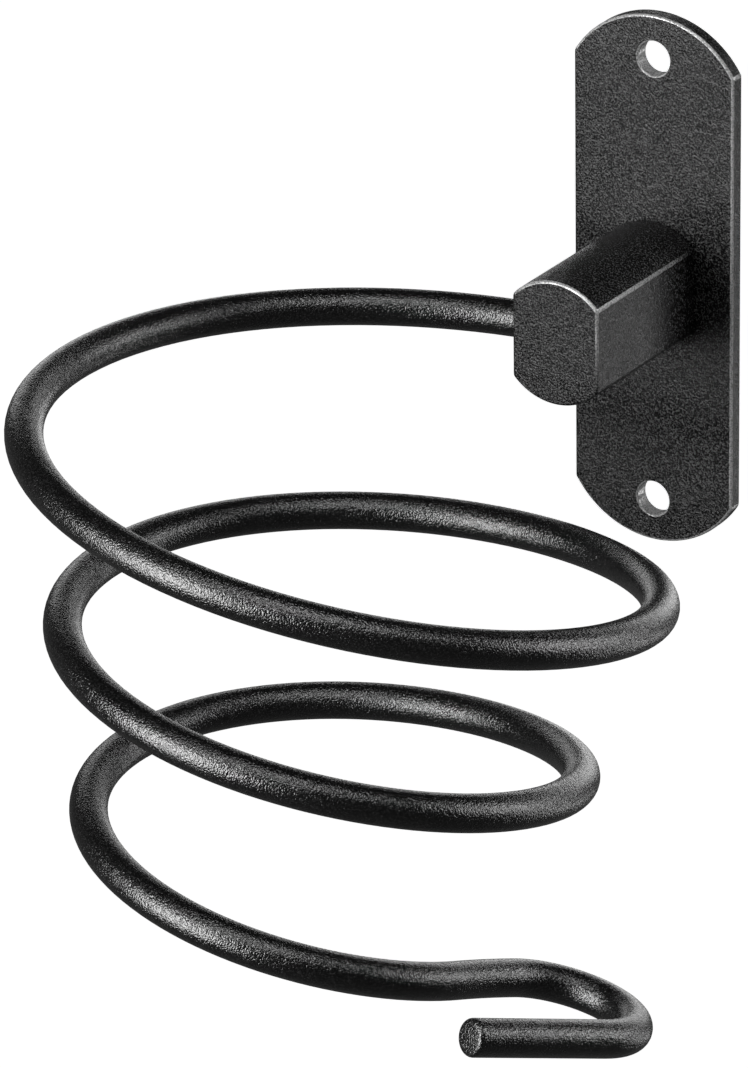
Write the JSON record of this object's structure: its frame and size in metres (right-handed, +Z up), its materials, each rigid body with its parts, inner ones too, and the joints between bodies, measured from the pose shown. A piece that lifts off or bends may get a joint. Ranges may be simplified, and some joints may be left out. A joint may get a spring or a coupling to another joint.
{
  "type": "hair dryer holder",
  "caption": "Wall-mounted holder for a hair dryer: a plate and stand-off block carry a bent rod that winds down as an open cone and ends in a cord hook.",
  "frame": {"origin": "centre of the wall plate's back face, on the wall", "axes": "+Z up, +Y into the wall, +X to the right as seen from the room; the holder stands out towards -Y"},
  "size_m": [0.1139, 0.142, 0.1372],
  "materials": {
    "black_powder_coat": "fine-textured satin black powder coat on steel",
    "zinc_steel": "bright zinc plated screw steel"
  },
  "bodies": {
    "root": {"wall_plate": "black_powder_coat", "standoff_block": "black_powder_coat", "spiral_rod": "black_powder_coat", "block_screw_upper": "zinc_steel", "block_screw_lower": "zinc_steel", "rod_grub_screw": "zinc_steel"}
  },
  "joints": []
}
